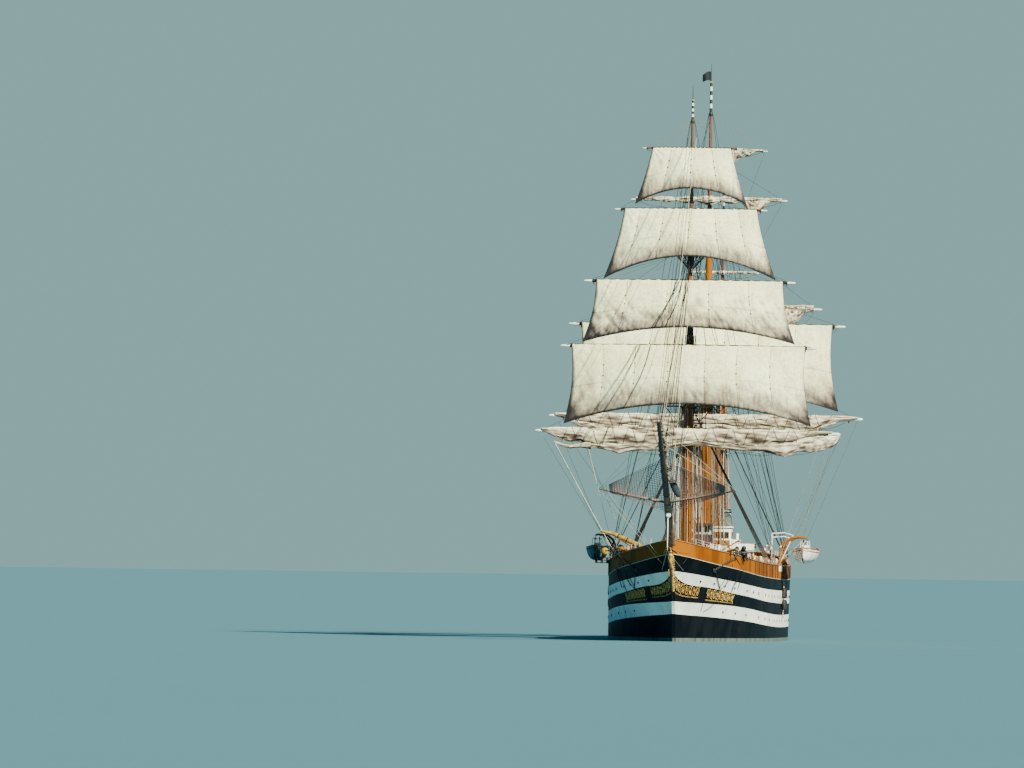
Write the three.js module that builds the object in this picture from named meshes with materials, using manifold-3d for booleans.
// A three-masted full-rigged ship as a 1:10 scale model.
// Millimetres, +Z up, bow towards -Y, port side towards +X, origin on the waterline amidships.
// At this scale 100 mm stand for one metre of the full-size ship.

import * as THREE from "three";
import { mergeVertices } from "three/addons/utils/BufferGeometryUtils.js";
import Module from "manifold-3d";

const wasm = await Module();
wasm.setup();

// Hull
const DRAUGHT = 730;
const KEEL_HALF_WIDTH = 14;
const STEM_CURVE = 1.45;
const COUNTER_CURVE = 0.6;
const FLARE = 1.3;
const SEAM = 0.3;
const STEPS_BETWEEN_STATIONS = 2;
const BELOW_WATER = [1, 0.96, 0.82, 0.6, 0.3, 0];
const BOW = -4120;
const STERN = 4120;

// Decks and bulwarks
const BULWARK_HEIGHT = 130;
const BULWARK_THICKNESS = 12;
const GANGWAY = [-600, -540];
const RAISED_DECK = 88;
const RAISED_DECK_INSET = 18;
const FORECASTLE = [-3960, -2680];
const POOP = [2180, 4040];

// Stern gear
const STERNPOST = 3240;
const SCREW_HEIGHT = -365;
const SCREW_RADIUS = 172;
const SCREW_CENTRE = 3125;
const APERTURE = { from: 3062, to: 3190, low: -552, high: -178 };
const RUDDER_AXIS = 3252;

// Bowsprit, from its heel under the forecastle to its outer tip
const BOWSPRIT_HEEL = [0, -3900, 757];
const BOWSPRIT_TIP = [0, -5960, 1925];
const BOWSPRIT_RADIUS = [38, 17];
const BOWSPRIT_CLEARANCE = 1.5;
const MARTINGALE = { at: 0.345, ahead: 50, drop: 355 };
const WHISKERS = { at: 0.4, reach: 600, rise: 110 };

// Spars
const TOPS_CAP = 8;
const PARREL_GAP = 5;
const PARREL_WALL = 7;
const SAIL_THICKNESS = 4;

// Stations from the stem to the taffrail. Columns: y at the deck edge, at the water and at the keel,
// half-breadth at the deck edge and at the water, depth of the keel, fullness of the bottom,
// then heights of the deck edge, of the upper white band's top and bottom, and of the lower one's.
const STATIONS = [
  [-4120, -3620, -3520, 14, 10, 250, 1.5, 774, 624, 604, 356, 246],
  [-4040, -3560, -3400, 72, 34, 470, 1.5, 762, 617, 545, 352, 242],
  [-3920, -3470, -3250, 172, 88, 625, 1.6, 740, 604, 504, 347, 236],
  [-3620, -3250, -3010, 350, 215, 705, 1.8, 692, 573, 480, 338, 225],
  [-3120, -2850, -2680, 530, 415, 730, 2.2, 644, 533, 432, 320, 204],
  [-2620, -2430, -2320, 636, 580, 730, 2.8, 606, 500, 399, 294, 180],
  [-2000, -1900, -1850, 706, 706, 730, 3.8, 580, 474, 364, 260, 149],
  [-1100, -1100, -1100, 762, 756, 730, 4.8, 564, 461, 347, 240, 131],
  [0, 0, 0, 775, 772, 730, 5, 558, 457, 340, 238, 128],
  [1100, 1100, 1100, 742, 730, 730, 4.2, 565, 461, 345, 244, 134],
  [1900, 1850, 1830, 690, 640, 730, 3.2, 580, 472, 356, 254, 145],
  [2600, 2480, 2430, 628, 450, 730, 2.3, 604, 492, 376, 272, 162],
  [3200, 2850, 2780, 545, 225, 730, 1.7, 632, 514, 399, 294, 184],
  [3650, 3040, 2980, 440, 112, 730, 1.5, 660, 538, 422, 318, 206],
  [3930, 3140, 3100, 320, 54, 730, 1.5, 680, 556, 440, 336, 222],
  [4080, 3205, 3190, 160, 24, 730, 1.5, 694, 568, 450, 348, 232],
  [4120, 3240, 3240, 30, 16, 730, 1.5, 700, 572, 454, 352, 236],
];

// Masts. Columns: name, y, height of the lower mast's top, of its platform, of the crosstrees,
// of the truck and of the pole's point, then radii at the deck, at the top and at the crosstrees,
// and half-length of the crosstrees' spreader.
const MASTS = [
  ["fore", -2100, 2500, 2095, 3480, 4850, 4990, 46, 40, 24, 175],
  ["main", 380, 2680, 2205, 3740, 5110, 5280, 48, 42, 25, 165],
  ["mizzen", 2380, 2180, 1990, 3060, 4160, 4300, 38, 33, 20, 120],
];

// Yards. Columns: mast, name, height, length, radius, distance ahead of the mast, mast radius there,
// and how its own sail is kept: set, hung in its gear, or furled.
const YARDS = [
  ["fore", "course", 1868, 2740, 28, 135, 43, "hung"],
  ["fore", "lower_topsail", 2632, 2300, 23, 125, 36, "set"],
  ["fore", "upper_topsail", 3218, 1900, 20, 85, 30, "set"],
  ["fore", "topgallant", 3864, 1370, 15, 64, 22, "set"],
  ["fore", "royal", 4415, 884, 11, 48, 15, "set"],
  ["main", "course", 2034, 2880, 29, 140, 45, "hung"],
  ["main", "lower_topsail", 2878, 2540, 24, 125, 38, "set"],
  ["main", "upper_topsail", 3035, 2100, 21, 85, 35, "furled"],
  ["main", "topgallant", 4027, 1440, 15, 64, 22, "furled"],
  ["main", "royal", 4481, 1060, 11, 48, 17, "furled"],
  ["mizzen", "course", 1800, 2100, 22, 110, 35, "furled"],
  ["mizzen", "lower_topsail", 2370, 1800, 19, 100, 29, "furled"],
  ["mizzen", "upper_topsail", 2530, 1550, 16, 72, 27, "furled"],
  ["mizzen", "topgallant", 3020, 1100, 13, 56, 22, "furled"],
  ["mizzen", "royal", 3410, 680, 9, 44, 17, "furled"],
];

// Set sails. Columns: mast, name, half-width and height at the head, half-width and height at the clews,
// height of the foot's middle, distance ahead of the mast at the head and at the clews, and fullness.
const SAILS = [
  ["fore", "lower_topsail", 1048, 2651, 1108, 1937, 2120, 154, 172, 190],
  ["fore", "upper_topsail", 835, 3234, 951, 2670, 2807, 111, 156, 150],
  ["fore", "topgallant", 590, 3876, 770, 3243, 3447, 85, 114, 130],
  ["fore", "royal", 349, 4424, 499, 3916, 4057, 65, 88, 90],
  ["main", "lower_topsail", 1145, 2897, 1180, 2103, 2303, 155, 178, 190],
];
const SAIL_COLUMNS = 14;
const SAIL_ROWS = 8;

// A hung course below its yard. Columns: place along the half yard, drop below the yard, thickness.
const HUNG_COURSE = [
  [0.02, 105, 62],
  [0.2, 150, 78],
  [0.42, 165, 84],
  [0.62, 190, 80],
  [0.78, 150, 66],
  [0.93, 60, 40],
];
const FURL_DEPTH = 1.9;
const FURL_REACH = 0.9;

// Standing rigging. Columns: mast, shrouds a side, first foot aft of the mast, spacing of the feet,
// height of the shrouds' head.
const SHROUDS = [
  ["fore", 6, 155, 68, 2052],
  ["main", 6, 160, 70, 2162],
  ["mizzen", 5, 135, 64, 1945],
];
const SHROUD_RADIUS = 3;
const SHROUD_HEAD_SPACING = 8;
const RATLINE_STEP = 470;

// Main stays on the centreline. Columns: name, y and height of the upper end, y and height of the lower.
const STAYS = [
  ["fore_topmast_stay", -2132, 3400, -5800, 1866],
  ["main_stay", 330, 2400, -2046, 1000],
  ["mizzen_stay", 2340, 1930, 434, 960],
];
const STAY_RADIUS = 3;

// Deckhouses. Columns: name, y from and to, half-width, height above the deck.
const DECKHOUSES = [
  ["fore_deckhouse", -1840, -1120, 200, 225],
  ["main_deckhouse", -860, 190, 230, 225],
  ["bridge_house", 980, 1760, 250, 235],
  ["chart_house", 2700, 3080, 150, 200],
];
const ROOF_OVERHANG = 10;
const ROOF_THICKNESS = 9;

// Blocks on the deckhouses: the hood forward, the wheelhouse with its roof, the chart box and the lookout
// box over it, and the tank's base. Columns: house, width, length, height, x, distance from the house's
// front, height above its roof.
const HOUSE_TOPS = [
  ["fore_deckhouse", 150, 220, 250, 100, 480, 0],
  ["bridge_house", 376, 300, 210, 0, 310, 0],
  ["bridge_house", 404, 330, 12, 0, 310, 209],
  ["bridge_house", 125, 110, 92, -2, 220, 220],
  ["bridge_house", 104, 100, 134, 37, 215, 311],
  ["bridge_house", 110, 110, 100, 129, 350, 220],
];
const TANK = { radius: 50, height: 84, x: 129, from: 350, base: 319 };

// Boats hung outboard. Columns: side, distance of the keel line from amidships, half-width, length.
const BOATS = [
  ["port", 980, 120, 860],
  ["starboard", -915, 95, 760],
];
const BOAT_MIDDLE = -620;
const BOAT_BOTTOM = 712;
const BOAT_DEPTH = 118;
const SPAR_RISE = 166;

const COLOURS = {
  black: ["#14161a", 0.45],
  white: ["#e6e4dc", 0.45],
  ochre: ["#b8742a", 0.5],
  gilding: ["#b58a3a", 0.35],
  timber: ["#8a5b32", 0.6],
  canvas: ["#cfc3ac", 0.9],
  rope: ["#2b2622", 0.8],
  bronze: ["#8c6a3a", 0.35],
};

// Turns a geometry into a solid that can be joined and cut
function solid(geometry) {
  const plain = geometry.index ? geometry.toNonIndexed() : geometry.clone();
  plain.deleteAttribute("normal");
  plain.deleteAttribute("uv");
  const merged = mergeVertices(plain, 1e-3);
  const made = new wasm.Manifold(
    new wasm.Mesh({
      numProp: 3,
      vertProperties: merged.attributes.position.array,
      triVerts: new Uint32Array(merged.index.array),
    }),
  );
  return made;
}

// Turns a solid back into a geometry
function geometryOf(made) {
  const mesh = made.getMesh();
  const geometry = new THREE.BufferGeometry();
  const corners = new Float32Array(mesh.numVert * 3);
  for (let i = 0; i < mesh.numVert; i += 1) {
    corners.set(mesh.vertProperties.subarray(i * mesh.numProp, i * mesh.numProp + 3), i * 3);
  }
  geometry.setAttribute("position", new THREE.BufferAttribute(corners, 3));
  geometry.setIndex(new THREE.BufferAttribute(new Uint32Array(mesh.triVerts), 1));
  geometry.computeVertexNormals();
  return geometry;
}

function join(geometries) {
  return geometryOf(geometries.map(solid).reduce((sum, next) => sum.add(next)));
}

function cut(geometry, cutter) {
  return geometryOf(solid(geometry).subtract(solid(cutter)));
}

// A closed geometry from triangles, turned so that its faces point outwards
function closedGeometry(points, triangles) {
  let volume = 0;
  for (const [a, b, c] of triangles) {
    volume += points[a].dot(points[b].clone().cross(points[c]));
  }
  const index = triangles.flatMap(([a, b, c]) => (volume > 0 ? [a, b, c] : [a, c, b]));
  const geometry = new THREE.BufferGeometry().setFromPoints(points);
  geometry.setIndex(index);
  geometry.computeVertexNormals();
  return geometry;
}

// A loft through rings of the same number of points, each ring even and paired first to last
function loft(rings) {
  const count = rings[0].length;
  const triangles = [];
  for (let i = 0; i + 1 < rings.length; i += 1) {
    for (let j = 0; j < count; j += 1) {
      const k = (j + 1) % count;
      const [a, b] = [i * count + j, i * count + k];
      triangles.push([a, b, b + count], [a, b + count, a + count]);
    }
  }
  const last = (rings.length - 1) * count;
  for (let j = 0; j + 1 < count / 2; j += 1) {
    const [a, b, c, d] = [j, j + 1, count - 2 - j, count - 1 - j];
    triangles.push([a, c, b], [a, d, c]);
    triangles.push([last + a, last + b, last + c], [last + a, last + c, last + d]);
  }
  return closedGeometry(rings.flat(), triangles);
}

// A straight round bar between two points, tapered
function bar(from, to, radiusFrom, radiusTo = radiusFrom, sides = 8) {
  const [start, end] = [new THREE.Vector3(...from), new THREE.Vector3(...to)];
  const along = end.clone().sub(start);
  const geometry = new THREE.CylinderGeometry(radiusTo, radiusFrom, along.length(), sides);
  geometry.applyQuaternion(
    new THREE.Quaternion().setFromUnitVectors(new THREE.Vector3(0, 1, 0), along.normalize()),
  );
  return geometry.translate(...start.add(end).multiplyScalar(0.5).toArray());
}

function box(width, depth, height, x, y, z) {
  return new THREE.BoxGeometry(width, depth, height).translate(x, y, z);
}

// A shape turned about the upright axis; the profile is a list of radius and height
function turned(profile, sides) {
  const points = profile.map(([radius, height]) => new THREE.Vector2(radius, height));
  return new THREE.LatheGeometry(points, sides).rotateX(Math.PI / 2);
}

function mix(a, b, t) {
  return a + (b - a) * t;
}

// A point of a smooth curve through table rows, each column on its own
function smoothRow(rows, i, t) {
  const at = (k) => rows[Math.min(Math.max(k, 0), rows.length - 1)];
  return rows[i].map((_, column) => {
    const [a, b, c, d] = [at(i - 1), at(i), at(i + 1), at(i + 2)].map((row) => row[column]);
    return b + 0.5 * t * (c - a + t * (2 * a - 5 * b + 4 * c - d + t * (3 * (b - c) + d - a)));
  });
}

// The hull's sections, with steps between the stations of the table
function hullSections() {
  const sections = [];
  for (let i = 0; i + 1 < STATIONS.length; i += 1) {
    for (let k = 0; k < STEPS_BETWEEN_STATIONS; k += 1) {
      sections.push(smoothRow(STATIONS, i, k / STEPS_BETWEEN_STATIONS));
    }
  }
  sections.push(STATIONS[STATIONS.length - 1]);
  return sections.map((row) => {
    const [yDeck, yWater, yKeel, halfDeck, halfWater, keel, fullness, ...heights] = row;
    return { yDeck, yWater, yKeel, halfDeck, halfWater, keel, fullness, heights };
  });
}

const SECTIONS = hullSections();

// A point on the port side of a section, below the water at a share of the keel's depth
function pointBelow(section, share) {
  const spread = Math.sqrt(1 - share ** section.fullness);
  const x = mix(KEEL_HALF_WIDTH, Math.max(section.halfWater, KEEL_HALF_WIDTH), spread);
  return new THREE.Vector3(x, mix(section.yWater, section.yKeel, share), -share * section.keel);
}

// A point on the port side of a section, above the water at one of the table's heights
function pointAbove(section, z) {
  const share = z / section.heights[0];
  const curve = section.yDeck < 0 ? STEM_CURVE : COUNTER_CURVE;
  const halfWater = Math.max(section.halfWater, KEEL_HALF_WIDTH);
  const x = mix(halfWater, section.halfDeck, share ** FLARE);
  return new THREE.Vector3(x, mix(section.yWater, section.yDeck, share ** curve), z);
}

// A whole ring from its port points, low to high
function mirrored(points) {
  const starboard = points.map((p) => new THREE.Vector3(-p.x, p.y, p.z)).reverse();
  return [...points, ...starboard];
}

// The height of the deck edge and the half-breadth of the deck at a place along the ship
function deckAt(y) {
  const i = Math.max(1, SECTIONS.findIndex((section) => section.yDeck >= y));
  const [a, b] = [SECTIONS[i - 1], SECTIONS[i]];
  const t = (y - a.yDeck) / (b.yDeck - a.yDeck);
  return { z: mix(a.heights[0], b.heights[0], t), half: mix(a.halfDeck, b.halfDeck, t) };
}

// The hull below the lower white band, with the propeller's aperture
function hullBottom() {
  const rings = SECTIONS.map((section) =>
    mirrored([
      ...BELOW_WATER.map((share) => pointBelow(section, share)),
      pointAbove(section, section.heights[4] * 0.5),
      pointAbove(section, section.heights[4]),
    ]),
  );
  const { from, to, low, high } = APERTURE;
  const hollow = box(400, to - from, high - low, 0, (from + to) / 2, (low + high) / 2);
  const boss = bar([0, from - 190, SCREW_HEIGHT], [0, from - 0.2, SCREW_HEIGHT], 30, 26, 12);
  const heel = box(2 * KEEL_HALF_WIDTH, 60, 14, 0, STERNPOST + 10, -DRAUGHT + 7);
  return geometryOf(solid(loft(rings)).subtract(solid(hollow)).add(solid(boss)).add(solid(heel)));
}

// One band of the side between two of the table's heights, as a slab right across the ship
function hullBand(lower, upper) {
  const rings = SECTIONS.map((section) => {
    const low = section.heights[lower] + SEAM;
    return mirrored([pointAbove(section, low), pointAbove(section, section.heights[upper])]);
  });
  return loft(rings);
}

// A raised deck inside the bulwarks
function raisedDeck([from, to]) {
  const inside = SECTIONS.filter(({ yDeck }) => yDeck > from && yDeck < to).map((s) => s.yDeck);
  const rings = [from, ...inside, to].map((y) => {
    const { z, half } = deckAt(y);
    const edge = Math.max(half - RAISED_DECK_INSET - 0.12 * Math.max(0, Math.abs(y) - 3600), 8);
    return mirrored([
      new THREE.Vector3(edge, y, z - 12),
      new THREE.Vector3(edge, y, z + RAISED_DECK),
    ]);
  });
  return loft(rings);
}

// The way through the bows that the bowsprit needs
function bowspritHole() {
  const [from, to] = BOWSPRIT_RADIUS.map((radius) => radius + BOWSPRIT_CLEARANCE);
  const heel = [0, BOWSPRIT_HEEL[1] + 4, BOWSPRIT_HEEL[2] - 2];
  return bar(heel, BOWSPRIT_TIP, from, to, 12);
}

function upperBand() {
  return cut(join([hullBand(1, 0), raisedDeck(FORECASTLE), raisedDeck(POOP)]), bowspritHole());
}

// The bulwark on one side, between two places along the ship
function bulwark(side, from, to) {
  const inside = SECTIONS.map((s) => s.yDeck).filter((y) => y > from && y < to);
  const rim = [from, ...inside, to].map((y) => {
    const { z, half } = deckAt(y);
    return new THREE.Vector3(half, y, z);
  });
  const rings = [];
  rim.forEach((edge, i) => {
    const [before, after] = [rim[Math.max(i - 1, 0)], rim[Math.min(i + 1, rim.length - 1)]];
    const outward = new THREE.Vector2(after.y - before.y, before.x - after.x).normalize();
    const outer = { x: edge.x - outward.x, y: edge.y - outward.y };
    const inner = {
      x: Math.max(outer.x - outward.x * BULWARK_THICKNESS, 1),
      y: outer.y - outward.y * BULWARK_THICKNESS,
    };
    const [low, high] = [edge.z + SEAM, edge.z + BULWARK_HEIGHT];
    rings.push([
      new THREE.Vector3(side * outer.x, outer.y, low),
      new THREE.Vector3(side * outer.x, outer.y, high),
      new THREE.Vector3(side * inner.x, inner.y, high),
      new THREE.Vector3(side * inner.x, inner.y, low),
    ]);
  });
  return cut(loft(rings), bowspritHole());
}

// A plain robed figure under the bowsprit, standing on a bracket ahead of the stem
function figurehead() {
  const robe = turned([[0, 0], [17, 0], [15, 30], [19, 62], [17, 82], [7, 92], [0, 92]], 12);
  const head = new THREE.SphereGeometry(9.5, 12, 8).translate(0, 0, 100);
  const bracket = box(14, 46, 14, 0, 18, -6);
  const arm = bar([0, -4, 74], [8, -20, 44], 5, 4, 6);
  const figure = join([robe, head, bracket, arm]);
  return figure.rotateX(0.24).translate(0, BOW - 42, 690);
}

// The bowsprit with its martingale boom and its two whisker booms, which rise outwards
function bowsprit() {
  const [heel, tip] = [BOWSPRIT_HEEL, BOWSPRIT_TIP];
  const along = (t) => heel.map((value, i) => mix(value, tip[i], t));
  const martingale = along(MARTINGALE.at);
  const [, y, z] = along(WHISKERS.at);
  return join([
    bar(heel, tip, ...BOWSPRIT_RADIUS, 12),
    bar(martingale, [0, martingale[1] - MARTINGALE.ahead, martingale[2] - MARTINGALE.drop], 9, 6, 8),
    bar([-WHISKERS.reach, y, z + WHISKERS.rise], [0, y, z], 6, 10, 8),
    bar([0, y, z], [WHISKERS.reach, y, z + WHISKERS.rise], 10, 6, 8),
    new THREE.SphereGeometry(BOWSPRIT_RADIUS[1] + 4, 10, 6).translate(...along(0.985)),
  ]);
}

function deckUnder(y) {
  const raised = (y > FORECASTLE[0] && y < FORECASTLE[1]) || (y > POOP[0] && y < POOP[1]);
  return deckAt(y).z + (raised ? RAISED_DECK : 0);
}

// The lower mast with the platform round its head
function lowerMast([, y, top, platform, , , , deckRadius, topRadius]) {
  const foot = Math.max(deckUnder(y - deckRadius), deckUnder(y + deckRadius)) + SEAM;
  const pole = turned([[0, foot], [deckRadius, foot], [topRadius, top], [0, top]], 14);
  const plan = new THREE.Shape();
  const [half, front, back] = [topRadius * 5.6, -topRadius * 1.5, topRadius * 3];
  plan.moveTo(-half, back);
  plan.lineTo(-half, 0);
  plan.quadraticCurveTo(-half, front, 0, front * 1.25);
  plan.quadraticCurveTo(half, front, half, 0);
  plan.lineTo(half, back);
  plan.closePath();
  const floor = new THREE.ExtrudeGeometry(plan, {
    depth: TOPS_CAP,
    bevelEnabled: false,
    curveSegments: 5,
  });
  const bracket = turned(
    [[0, platform - 30], [topRadius, platform - 30], [topRadius * 1.7, platform + 4], [0, platform + 4]],
    10,
  );
  return join([pole, floor.translate(0, 0, platform), bracket]);
}

// The topmast with the crosstrees, the topgallant pole, the truck and the point above it
function topmast([, , top, , crosstrees, truck, point, , topRadius, crossRadius, spread]) {
  const foot = top + SEAM;
  const pole = turned(
    [
      [0, foot],
      [topRadius * 0.86, foot],
      [crossRadius, crosstrees],
      [crossRadius * 0.84, crosstrees + 60],
      [crossRadius * 0.42, truck],
      [0, truck],
    ],
    12,
  );
  const spike = bar([0, 0, truck - 10], [0, 0, point], 4, 2, 6);
  const cap = turned([[0, truck - 6], [14, truck - 6], [14, truck + 6], [0, truck + 6]], 10);
  const spreader = box(2 * spread, 12, 8, 0, crossRadius * 1.3, crosstrees);
  const rests = [-1, 1].map((side) => box(10, crossRadius * 5, 8, side * crossRadius * 1.1, 8, crosstrees - 6));
  return join([pole, spike, cap, spreader, ...rests]);
}

// A yard along X with the truss and collar that hold it to its mast
function yard([, , , length, radius, ahead, mastRadius, kept]) {
  const half = length / 2;
  const profile = [
    [0, -half],
    [radius * 0.45, -half],
    [radius * 0.85, -half * 0.5],
    [radius, 0],
    [radius * 0.85, half * 0.5],
    [radius * 0.45, half],
    [0, half],
  ];
  const spar = turned(profile, 10).rotateY(Math.PI / 2).translate(0, -ahead, 0);
  const collarInner = mastRadius + PARREL_GAP;
  const collarOuter = collarInner + PARREL_WALL;
  const ring = new THREE.Shape().absarc(0, 0, collarOuter, 0, 2 * Math.PI);
  ring.holes.push(new THREE.Path().absarc(0, 0, collarInner, 0, 2 * Math.PI));
  const collar = new THREE.ExtrudeGeometry(ring, {
    depth: radius * 1.4,
    bevelEnabled: false,
    curveSegments: 6,
  });
  const reach = ahead - collarInner - 2;
  const truss = box(radius * 0.9, reach, radius * 0.9, 0, -ahead + reach / 2, 0);
  const pieces = [spar, collar.translate(0, 0, -radius * 0.7), truss];
  if (kept === "hung") pieces.push(hungCourse(half, radius, ahead));
  if (kept === "furled") pieces.push(furledSail(half, radius, ahead));
  return join(pieces);
}

// An oval ring in a plane across X, for bundles of canvas along a yard
function ovalRing(x, y, z, halfDepth, halfHeight) {
  const sides = 8;
  return Array.from({ length: sides }, (_, k) => {
    const angle = ((k + 0.5) / sides) * 2 * Math.PI;
    return new THREE.Vector3(x, y + halfDepth * Math.cos(angle), z + halfHeight * Math.sin(angle));
  });
}

function hungCourse(half, radius, ahead) {
  const port = HUNG_COURSE.map(([place, drop, thick]) =>
    ovalRing(place * half, -ahead - radius * 0.6, -drop / 2 + radius * 0.4, thick / 2, drop / 2),
  );
  const starboard = HUNG_COURSE.map(([place, drop, thick]) =>
    ovalRing(-place * half, -ahead - radius * 0.6, -drop / 2 + radius * 0.4, thick / 2, drop / 2),
  ).reverse();
  return loft([...starboard, ...port]);
}

function furledSail(half, radius, ahead) {
  const places = [-FURL_REACH, -0.6, -0.2, 0, 0.2, 0.6, FURL_REACH];
  return loft(
    places.map((place) => {
      const size = radius * FURL_DEPTH * (1 - 0.55 * Math.abs(place)) * 0.78;
      return ovalRing(place * half, -ahead - radius * 0.5, radius * 0.45, size, size * 1.05);
    }),
  );
}

// A closed sheet from a front and a back grid of points
function sheet(front, back) {
  const [rows, columns] = [front.length, front[0].length];
  const points = [...front.flat(), ...back.flat()];
  const offset = rows * columns;
  const triangles = [];
  const at = (i, j) => i * columns + j;
  for (let i = 0; i + 1 < rows; i += 1) {
    for (let j = 0; j + 1 < columns; j += 1) {
      const [a, b, c, d] = [at(i, j), at(i, j + 1), at(i + 1, j + 1), at(i + 1, j)];
      triangles.push([a, b, c], [a, c, d]);
      triangles.push([a + offset, c + offset, b + offset], [a + offset, d + offset, c + offset]);
    }
  }
  const rim = [
    ...Array.from({ length: columns - 1 }, (_, j) => [at(0, j), at(0, j + 1)]),
    ...Array.from({ length: rows - 1 }, (_, i) => [at(i, columns - 1), at(i + 1, columns - 1)]),
    ...Array.from({ length: columns - 1 }, (_, j) => [at(rows - 1, j + 1), at(rows - 1, j)]),
    ...Array.from({ length: rows - 1 }, (_, i) => [at(i + 1, 0), at(i, 0)]),
  ];
  for (const [a, b] of rim) {
    triangles.push([b, a, a + offset], [b, a + offset, b + offset]);
  }
  return closedGeometry(points, triangles);
}

// A square sail full of wind from astern
function squareSail([, , headHalf, headZ, clewHalf, clewZ, footZ, headAhead, clewAhead, fullness]) {
  const grid = (behind) =>
    Array.from({ length: SAIL_ROWS + 1 }, (_, i) =>
      Array.from({ length: SAIL_COLUMNS + 1 }, (_, j) => {
        const down = i / SAIL_ROWS;
        const across = (2 * j) / SAIL_COLUMNS - 1;
        const half = mix(headHalf, clewHalf, down) - 0.035 * headHalf * Math.sin(Math.PI * down);
        const foot = mix(footZ, clewZ, across ** 2);
        const belly = fullness * (1 - across ** 2) ** 0.8 * Math.sin(0.74 * Math.PI * down);
        const ahead = mix(headAhead, clewAhead, down) + belly;
        return new THREE.Vector3(across * half, behind - ahead, mix(headZ, foot, down));
      }),
    );
  return sheet(grid(0), grid(SAIL_THICKNESS));
}

// The shrouds of one side with some of their ratlines
function shroudFan([, count, first, spacing, headZ], mastY, headRadius, side) {
  const head = [side * (headRadius + 8), mastY + 14, headZ];
  const feet = Array.from({ length: count }, (_, i) => {
    const y = mastY + first + i * spacing;
    const { z, half } = deckAt(y);
    return [side * (half - 7), y, z + BULWARK_HEIGHT + SEAM + 2];
  });
  const pieces = feet.map((foot, i) =>
    bar([head[0], head[1] + i * SHROUD_HEAD_SPACING, head[2]], foot, SHROUD_RADIUS, SHROUD_RADIUS, 4),
  );
  const levelOn = (i, z) => {
    const foot = feet[i];
    const t = (z - foot[2]) / (head[2] - foot[2]);
    return [mix(foot[0], head[0], t), mix(foot[1], head[1] + i * SHROUD_HEAD_SPACING, t), z];
  };
  const reach = (count - 1) * SHROUD_HEAD_SPACING;
  pieces.push(box(9, reach + 8, 9, head[0], head[1] + reach / 2, headZ));
  for (let z = feet[0][2] + 60; z < headZ - 300; z += RATLINE_STEP) {
    pieces.push(bar(levelOn(0, z), levelOn(count - 1, z), 2, 2, 4));
  }
  return join(pieces);
}

function boat([, , halfWidth, length]) {
  // Columns: share of the length from the middle, share of the width at the rim, rise of the keel
  const table = [[-0.5, 0.06, 46], [-0.4, 0.55, 12], [-0.2, 0.93, 0], [0.1, 1, 0], [0.38, 0.86, 6], [0.5, 0.6, 22]];
  const rings = table.map(([place, share, rise]) => {
    const half = halfWidth * share;
    const y = place * length;
    return mirrored([
      new THREE.Vector3(half * 0.12, y, rise),
      new THREE.Vector3(half * 0.72, y, rise + BOAT_DEPTH * 0.34),
      new THREE.Vector3(half, y, BOAT_DEPTH),
      new THREE.Vector3(half * 0.5, y, BOAT_DEPTH + 16),
    ]);
  });
  return loft(rings);
}

// Two davit arms over a boat, joined by the spar that it is griped to
function davits([side, centre, , length]) {
  const sign = side === "port" ? 1 : -1;
  const rail = deckAt(BOAT_MIDDLE).half - 7;
  const foot = deckAt(BOAT_MIDDLE).z + BULWARK_HEIGHT + 3;
  const reach = Math.abs(centre) - rail;
  const arms = [-0.36, 0.36].flatMap((place) => {
    const y = BOAT_MIDDLE + place * length;
    const line = [
      [rail, foot],
      [rail + 8, foot + SPAR_RISE],
      [rail + reach * 0.5, foot + 250],
      [rail + reach, foot + 246],
    ];
    return line.slice(1).map(([x, z], i) => {
      const from = [sign * line[i][0], y, line[i][1]];
      return bar(from, [sign * x, y, z], 11, 10, 8);
    });
  });
  const end = BOAT_MIDDLE + 0.4 * length;
  const start = BOAT_MIDDLE - 0.4 * length;
  const x = sign * (rail + 8);
  return join([...arms, bar([x, start, foot + SPAR_RISE], [x, end, foot + SPAR_RISE], 8, 8, 8)]);
}

// An anchor lying on the rail: shank, stock and two arms with flukes
function anchor(side) {
  const shank = bar([0, -150, 0], [0, 150, 0], 9, 12, 8);
  const stock = bar([-95, -128, 0], [95, -128, 0], 7, 7, 8);
  const arms = [-1, 1].map((way) => bar([0, 146, 0], [way * 105, 78, 0], 13, 7, 8));
  const flukes = [-1, 1].map((way) => box(46, 40, 12, way * 96, 84, 0));
  const made = join([shank, stock, ...arms, ...flukes]);
  const place = -3120;
  const { z, half } = deckAt(place);
  return made.rotateZ(side * 0.36).translate(side * (half - 20), place, z + BULWARK_HEIGHT + 22);
}

// A rudder blade behind the sternpost, turning about an upright axis
function rudder() {
  const [low, high] = [-708, -10];
  const outline = new THREE.Shape();
  outline.moveTo(0, low);
  outline.lineTo(190, low + 20);
  outline.quadraticCurveTo(262, low + 120, 252, -330);
  outline.lineTo(205, high - 30);
  outline.lineTo(0, high);
  outline.closePath();
  const thick = 13;
  const blade = new THREE.ExtrudeGeometry(outline, {
    depth: thick,
    bevelEnabled: false,
    curveSegments: 4,
  });
  blade.translate(0, 0, -thick / 2).rotateX(Math.PI / 2).rotateZ(Math.PI / 2);
  return join([blade, bar([0, 0, low], [0, 0, high + 6], 7, 7, 10)]);
}

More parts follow.
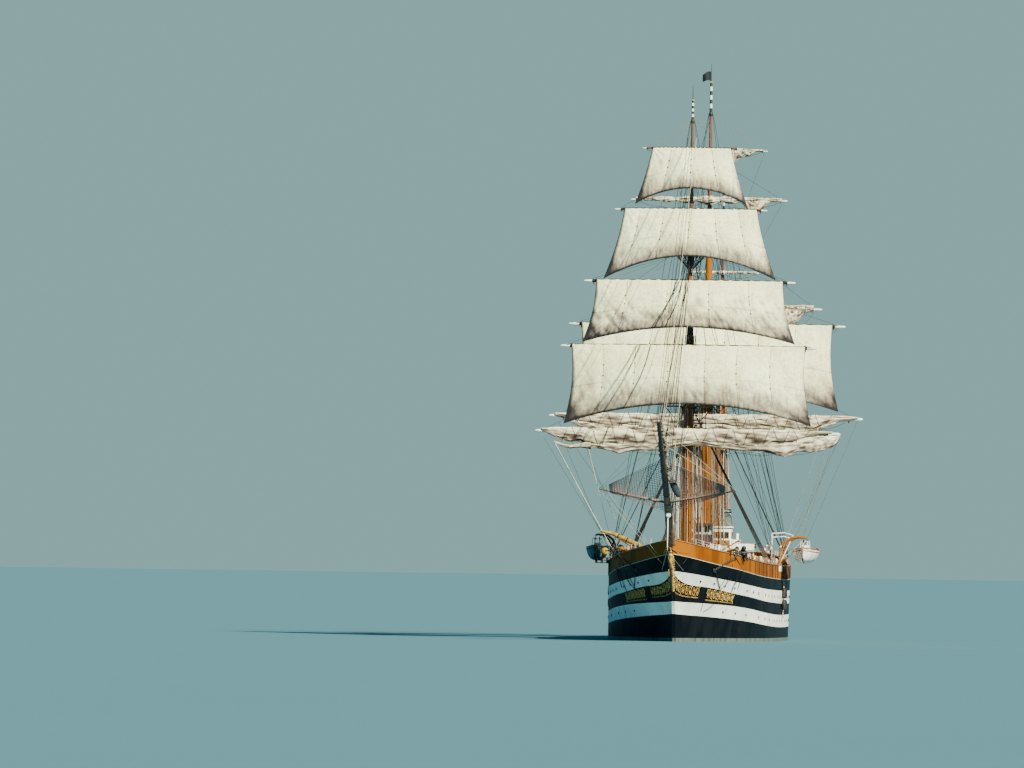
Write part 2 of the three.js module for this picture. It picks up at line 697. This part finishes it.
// A four-bladed screw turning about Y
function propeller() {
  const hub = bar([0, -48, 0], [0, 46, 0], 27, 17, 12);
  const blades = Array.from({ length: 4 }, (_, k) => {
    const rows = [[14, 0.95, 26], [70, 0.72, 44], [125, 0.5, 48], [SCREW_RADIUS, 0.36, 20]];
    const rings = rows.map(([radius, twist, half]) => {
      const [c, s] = [Math.cos(twist), Math.sin(twist)];
      const corner = (u, v) => new THREE.Vector3(u * c - v * s, u * s + v * c, radius);
      return [corner(-half, -2.5), corner(half, -2.5), corner(half, 2.5), corner(-half, 2.5)];
    });
    return loft(rings).rotateY((k * Math.PI) / 2);
  });
  return join([hub, ...blades]);
}

// A deckhouse with a rounded front and a roof that overhangs
function deckhouse([, from, to, half, height]) {
  const [length, round] = [to - from, half * 0.35];
  const plan = (grow) => {
    const shape = new THREE.Shape();
    const [w, back] = [half + grow, length + grow];
    shape.moveTo(-w, back);
    shape.lineTo(-w, round - grow);
    shape.quadraticCurveTo(-w, -grow, -w + round, -grow);
    shape.lineTo(w - round, -grow);
    shape.quadraticCurveTo(w, -grow, w, round - grow);
    shape.lineTo(w, back);
    shape.closePath();
    return shape;
  };
  const options = { bevelEnabled: false, curveSegments: 4 };
  const walls = new THREE.ExtrudeGeometry(plan(0), { ...options, depth: height });
  const roof = new THREE.ExtrudeGeometry(plan(ROOF_OVERHANG), { ...options, depth: ROOF_THICKNESS });
  return join([walls, roof.translate(0, 0, height - 1)]);
}

// What stands on a deckhouse
function houseTops(name, roof) {
  const blocks = HOUSE_TOPS.filter((row) => row[0] === name).map(([, width, length, height, x, from, base]) =>
    box(width, length, height, x, from, roof + base + height / 2 - SEAM),
  );
  const { radius, height, x, from, base } = TANK;
  const tank = bar([x, from, roof + base], [x, from, roof + base + height], radius, radius - 5, 16);
  return name === "bridge_house" ? [...blocks, tank] : blocks;
}

// The spanker's boom or gaff: a spar from the mizzen mast aft, with jaws round the mast
function spankerSpar(length, rise, radius, mastRadius, furled) {
  const start = mastRadius + PARREL_GAP + 2 + radius * Math.sin(rise);
  const end = [0, start + length * Math.cos(rise), length * Math.sin(rise)];
  const inner = mastRadius + PARREL_GAP;
  const ring = new THREE.Shape().absarc(0, 0, inner + PARREL_WALL, 0, 2 * Math.PI);
  ring.holes.push(new THREE.Path().absarc(0, 0, inner, 0, 2 * Math.PI));
  const collar = new THREE.ExtrudeGeometry(ring, { depth: 24, bevelEnabled: false, curveSegments: 6 });
  const pieces = [bar([0, start, 0], end, radius, radius * 0.6, 10), collar.translate(0, 0, -12)];
  if (furled) {
    const at = (t) => [0, mix(start + 30, end[1], t), mix(0, end[2], t) - radius];
    pieces.push(bar(at(0), at(0.8), radius * 1.5, radius * 0.9, 8));
  }
  return join(pieces);
}

function named(name, geometry, colour) {
  const [color, roughness] = COLOURS[colour];
  const metalness = colour === "gilding" || colour === "bronze" ? 0.9 : 0;
  const mesh = new THREE.Mesh(
    geometry,
    new THREE.MeshStandardMaterial({ color, roughness, metalness }),
  );
  mesh.name = name;
  return mesh;
}

function placed(mesh, x, y, z) {
  mesh.position.set(x, y, z);
  return mesh;
}

const ship = new THREE.Group();
ship.add(
  named("hull_bottom", hullBottom(), "black"),
  named("hull_lower_white_band", hullBand(4, 3), "white"),
  named("hull_middle_black_band", hullBand(3, 2), "black"),
  named("hull_upper_white_band", hullBand(2, 1), "white"),
  named("hull_upper_black_band", upperBand(), "black"),
);
for (const [side, name] of [[1, "port"], [-1, "starboard"]]) {
  ship.add(
    named(`bulwark_fore_${name}`, bulwark(side, BOW, GANGWAY[0]), "ochre"),
    named(`bulwark_aft_${name}`, bulwark(side, GANGWAY[1], STERN), "ochre"),
    named(`anchor_${name}`, anchor(side), "black"),
  );
}
ship.add(named("figurehead", figurehead(), "gilding"), named("bowsprit", bowsprit(), "timber"));
for (const house of DECKHOUSES) {
  const tops = houseTops(house[0], house[4] + ROOF_THICKNESS - 1);
  const mesh = named(house[0], join([deckhouse(house), ...tops]), "white");
  const ends = [deckUnder(house[1]), deckUnder(house[2])];
  ship.add(placed(mesh, 0, house[1], Math.max(...ends) + SEAM));
}
for (const row of BOATS) {
  ship.add(
    placed(named(`boat_${row[0]}`, boat(row), "white"), row[1], BOAT_MIDDLE, BOAT_BOTTOM),
    named(`davits_${row[0]}`, davits(row), "ochre"),
  );
}
ship.add(
  placed(named("rudder", rudder(), "black"), 0, RUDDER_AXIS, 0),
  placed(named("propeller", propeller(), "bronze"), 0, SCREW_CENTRE, SCREW_HEIGHT),
);

for (const mast of MASTS) {
  const [name, y] = mast;
  ship.add(
    placed(named(`${name}_lower_mast`, lowerMast(mast), "ochre"), 0, y, 0),
    placed(named(`${name}_topmast`, topmast(mast), "ochre"), 0, y, 0),
  );
  const fan = SHROUDS.find((row) => row[0] === name);
  for (const [side, sideName] of [[1, "port"], [-1, "starboard"]]) {
    ship.add(named(`${name}_shrouds_${sideName}`, shroudFan(fan, y, mast[8], side), "rope"));
  }
}
const mastY = Object.fromEntries(MASTS.map(([name, y]) => [name, y]));
for (const row of YARDS) {
  ship.add(placed(named(`${row[0]}_${row[1]}_yard`, yard(row), "timber"), 0, mastY[row[0]], row[2]));
}
for (const row of SAILS) {
  ship.add(placed(named(`${row[0]}_${row[1]}_sail`, squareSail(row), "canvas"), 0, mastY[row[0]], 0));
}
ship.add(
  placed(named("spanker_boom", spankerSpar(1560, 0.05, 17, 37, false), "timber"), 0, mastY.mizzen, 1010),
  placed(named("spanker_gaff", spankerSpar(1000, 0.62, 13, 34, true), "timber"), 0, mastY.mizzen, 1640),
);

for (const [name, yHigh, high, yLow, low] of STAYS) {
  ship.add(named(name, bar([0, yHigh, high], [0, yLow, low], STAY_RADIUS, STAY_RADIUS, 6), "rope"));
}

export default ship;
